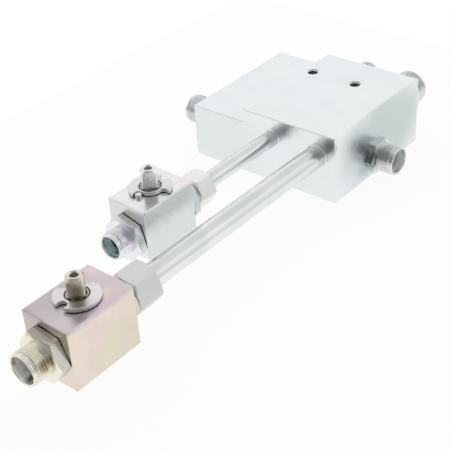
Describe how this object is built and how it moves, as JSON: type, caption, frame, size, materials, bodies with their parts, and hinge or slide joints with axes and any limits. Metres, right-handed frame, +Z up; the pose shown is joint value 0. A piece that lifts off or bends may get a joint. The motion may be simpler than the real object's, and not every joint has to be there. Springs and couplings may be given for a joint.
{
  "type": "manifold block",
  "caption": "Stepped steel manifold block with threaded tube ports, brazed tubes on its front face and a square bodied ball valve at the end of each.",
  "frame": {"origin": "centre of the block's base face", "axes": "+X right along the block's front face, +Y from the valves to the back ports, +Z up out of the base"},
  "size_m": [0.224, 0.5435, 0.102],
  "materials": {
    "zinc": "satin bright zinc plate",
    "yellow_zinc": "satin yellow and pink passivated zinc",
    "olive_zinc": "satin olive passivated zinc",
    "grey_zinc": "satin grey passivated zinc",
    "nut_zinc": "satin bright zinc plate",
    "dark_steel": "dark turned steel",
    "spring_steel": "smooth spring steel",
    "braze": "smooth braze under zinc plate",
    "hard_chrome": "polished",
    "seat_plastic": "matt acetal",
    "seal_rubber": "matt nitrile rubber"
  },
  "bodies": {
    "manifold": {"base_plug": "zinc", "far_braze_ring": "braze", "far_cutting_ring": "nut_zinc", "far_front_adapter": "grey_zinc", "far_front_adapter_o_ring": "seal_rubber", "far_front_ball_seat": "seat_plastic", "far_rear_adapter": "grey_zinc", "far_rear_adapter_o_ring": "seal_rubber", "far_rear_ball_seat": "seat_plastic", "far_stop_pin": "spring_steel", "far_thrust_washer": "seat_plastic", "far_tube": "zinc", "far_union_nut": "nut_zinc", "far_valve_body": "grey_zinc", "left_port_seal": "seal_rubber", "left_port_stud": "zinc", "manifold_block": "zinc", "near_braze_ring": "braze", "near_cutting_ring": "nut_zinc", "near_front_adapter": "olive_zinc", "near_front_adapter_o_ring": "seal_rubber", "near_front_ball_seat": "seat_plastic", "near_rear_adapter": "olive_zinc", "near_rear_adapter_o_ring": "seal_rubber", "near_rear_ball_seat": "seat_plastic", "near_stop_pin": "spring_steel", "near_thrust_washer": "seat_plastic", "near_tube": "zinc", "near_union_nut": "nut_zinc", "near_valve_body": "yellow_zinc", "rear_large_port_seal": "seal_rubber", "rear_large_port_stud": "zinc", "rear_small_port_seal": "seal_rubber", "rear_small_port_stud": "zinc", "right_port_seal": "seal_rubber", "right_port_stud": "zinc"},
    "near_closer": {"near_ball": "hard_chrome", "near_spindle": "dark_steel", "near_spindle_o_ring": "seal_rubber", "near_stop_disc": "yellow_zinc", "near_snap_ring": "spring_steel"},
    "far_closer": {"far_ball": "hard_chrome", "far_spindle": "dark_steel", "far_spindle_o_ring": "seal_rubber", "far_stop_disc": "grey_zinc", "far_snap_ring": "spring_steel"}
  },
  "joints": [
    {"name": "near_valve_turn", "type": "hinge", "parent": "manifold", "child": "near_closer", "pos_m": [0.0655, -0.3825, 0.097], "axis": [0, 0, 1], "range_deg": [-90, 0]},
    {"name": "far_valve_turn", "type": "hinge", "parent": "manifold", "child": "far_closer", "pos_m": [0.013, -0.244, 0.102], "axis": [0, 0, 1], "range_deg": [-90, 0]}
  ]
}
